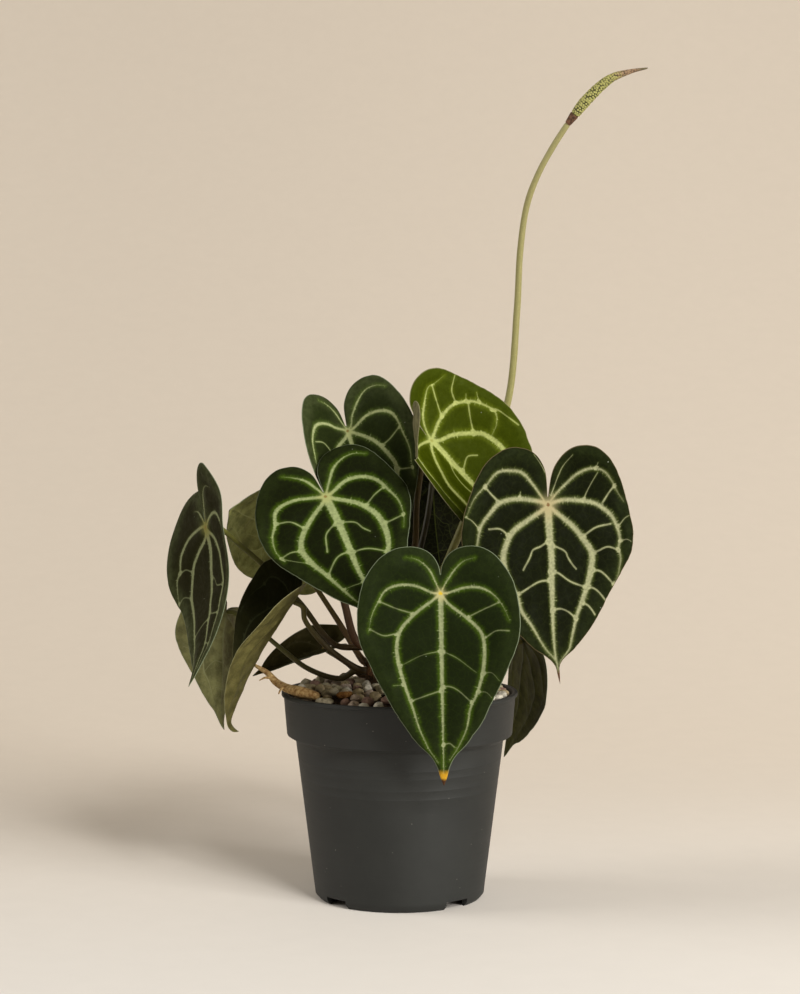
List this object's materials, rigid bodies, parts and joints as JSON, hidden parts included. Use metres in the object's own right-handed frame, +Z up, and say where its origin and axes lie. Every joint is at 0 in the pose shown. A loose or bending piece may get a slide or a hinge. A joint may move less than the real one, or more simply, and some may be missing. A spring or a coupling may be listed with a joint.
{
  "type": "potted anthurium clarinervium",
  "caption": "Velvety heart-shaped leaves with pale veins on thin stalks around a short crown, with one tall flower spike, in a dark plastic grower's pot of stony mix.",
  "frame": {"origin": "on the ground at the pot's axis, which is within 3 mm of the middle of the whole plant's box", "axes": "+Z up along the pot's axis; the side the picture shows faces -Y, and +X is to its right"},
  "size_m": [0.2419, 0.1719, 0.4161],
  "materials": {
    "pot_plastic": "injection moulded, satin",
    "potting_mix": "dark crumbly bark and soil, matt",
    "crown_bark": "rough fibrous stem, matt",
    "leaf": "velvety dark green leaf with pale veins",
    "young_leaf": "soft light green leaf with pale veins",
    "petiole": "smooth olive to brown stalk, satin",
    "flower_stalk": "smooth pale green stalk, satin",
    "dried_spathe": "dry, papery",
    "spadix": "bumpy yellow-green flower spike",
    "root_wood": "woody, matt",
    "dried_sheath": "dry, papery, fibrous",
    "pumice": "porous, matt",
    "bark_chip": "rough, matt"
  },
  "bodies": {
    "root": {"nursery_pot": "pot_plastic", "potting_mix": "potting_mix", "crown_stem": "crown_bark", "blade_front": "leaf", "petiole_front": "petiole", "blade_right": "leaf", "petiole_right": "petiole", "blade_left": "leaf", "petiole_left": "petiole", "blade_back_left": "leaf", "petiole_back_left": "petiole", "blade_young": "young_leaf", "petiole_young": "petiole", "blade_outer_left": "leaf", "petiole_outer_left": "petiole", "blade_low_left": "leaf", "petiole_low_left": "petiole", "blade_curled": "leaf", "petiole_curled": "petiole", "blade_olive_back": "leaf", "petiole_olive_back": "petiole", "blade_small": "leaf", "petiole_small": "petiole", "blade_low_right": "leaf", "petiole_low_right": "petiole", "blade_inner": "leaf", "petiole_inner": "petiole", "peduncle": "flower_stalk", "collar": "dried_spathe", "spadix": "spadix", "aerial_root": "root_wood", "sheath_left": "dried_sheath", "sheath_back": "dried_sheath", "sheath_right": "dried_sheath", "stone_1": "pumice", "stone_2": "pumice", "stone_3": "pumice", "stone_4": "pumice", "stone_5": "pumice", "stone_6": "pumice", "stone_7": "pumice", "stone_8": "pumice", "stone_9": "pumice", "stone_10": "pumice", "stone_11": "pumice", "stone_12": "pumice", "stone_13": "pumice", "stone_14": "pumice", "stone_15": "pumice", "bark_1": "bark_chip", "bark_2": "bark_chip", "bark_3": "bark_chip"}
  },
  "joints": []
}
